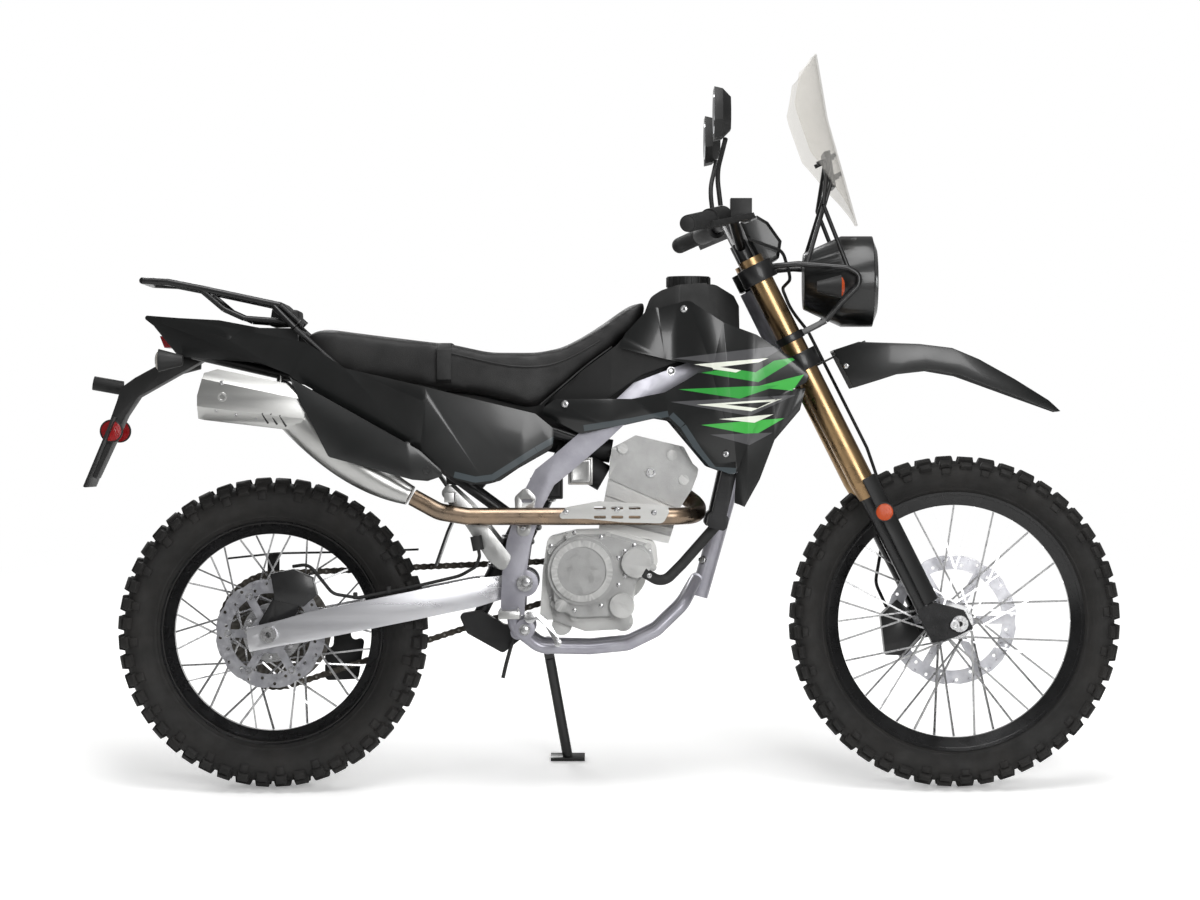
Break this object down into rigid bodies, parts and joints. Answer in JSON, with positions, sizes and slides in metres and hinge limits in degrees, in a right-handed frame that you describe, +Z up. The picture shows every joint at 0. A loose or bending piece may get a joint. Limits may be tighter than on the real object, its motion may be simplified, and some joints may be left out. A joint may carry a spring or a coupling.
{
  "type": "dual sport motorcycle",
  "caption": "Dual sport motorcycle with spoked wheels, a leading axle fork, a single cylinder engine, a high exhaust, a luggage rack and a small screen, leaning on its side stand.",
  "frame": {"origin": "middle of the bounding box on the ground plane", "axes": "+X to the front of the motorcycle, +Y to its left, +Z up; the motorcycle leans ten degrees to its left about +X"},
  "size_m": [2.1816, 0.8656, 1.532],
  "materials": {
    "tyre": "matte",
    "rim": "gloss",
    "spoke": "satin",
    "hub": "satin",
    "disc": "satin",
    "chain": "satin",
    "axle": "satin",
    "fork_tube": "satin",
    "plastic": "gloss",
    "engine": "matte",
    "steel": "satin",
    "rubber": "matte",
    "matte": "matte",
    "clear": "gloss",
    "screen": "gloss",
    "signal": "matte",
    "caliper": "satin",
    "frame": "satin",
    "radiator": "matte",
    "header": "satin",
    "muffler": "satin",
    "seat": "matte",
    "red": "gloss",
    "matte_steel": "matte"
  },
  "bodies": {
    "chassis": {"airbox": "matte", "chain": "chain", "chain_guard": "matte", "coolant_hose": "rubber", "cylinder": "engine", "engine_cases": "engine", "engine_covers": "engine", "exhaust_pipe": "header", "footpegs": "steel", "fuel_cap": "matte", "fuel_tank": "plastic", "heat_guard": "muffler", "main_frame": "frame", "muffler": "muffler", "pedals": "hub", "plate_holder": "matte", "radiators": "radiator", "rear_axle": "axle", "rear_brake_hose": "rubber", "rear_caliper": "caliper", "rear_fender": "matte", "rear_lights": "red", "rear_rack": "matte_steel", "rear_shock": "steel", "rear_subframe": "steel", "seat": "seat", "shrouds": "plastic", "side_panels": "plastic", "swingarm": "hub"},
    "steering": {"front_axle": "axle", "fork_tubes": "fork_tube", "fork_sliders": "hub", "fork_guards": "plastic", "triple_clamps": "engine", "handlebar": "steel", "grips": "rubber", "controls": "matte", "mirrors": "plastic", "headlight": "plastic", "headlight_lens": "clear", "headlight_bracket": "matte", "windshield": "screen", "instrument": "plastic", "front_fender": "plastic", "front_signals": "signal", "front_caliper": "caliper", "brake_hose": "rubber"},
    "front_wheel": {"front_tyre": "tyre", "front_rim": "rim", "front_spokes": "spoke", "front_hub": "hub", "front_disc": "disc"},
    "rear_wheel": {"rear_tyre": "tyre", "rear_rim": "rim", "rear_spokes": "spoke", "rear_hub": "hub", "rear_disc": "disc", "rear_sprocket": "chain"},
    "side_stand": {"side_stand": "steel"}
  },
  "joints": [
    {"name": "steering_turn", "type": "hinge", "parent": "chassis", "child": "steering", "pos_m": [0.34836, -0.04666, 0.96641], "axis": [-0.4493, 0.1551, 0.8798], "range_deg": [-43, 43]},
    {"name": "front_wheel_spin", "type": "hinge", "parent": "steering", "child": "front_wheel", "pos_m": [0.74084, -0.15588, 0.34694], "axis": [0, 0.9848, -0.1736], "continuous": true},
    {"name": "rear_wheel_spin", "type": "hinge", "parent": "chassis", "child": "rear_wheel", "pos_m": [-0.69964, -0.15988, 0.32429], "axis": [0, 0.9848, -0.1736], "continuous": true},
    {"name": "side_stand_fold", "type": "hinge", "parent": "chassis", "child": "side_stand", "pos_m": [-0.12164, -0.0399, 0.26759], "axis": [0, 0.9781, 0.2079], "range_deg": [0, 95]}
  ]
}
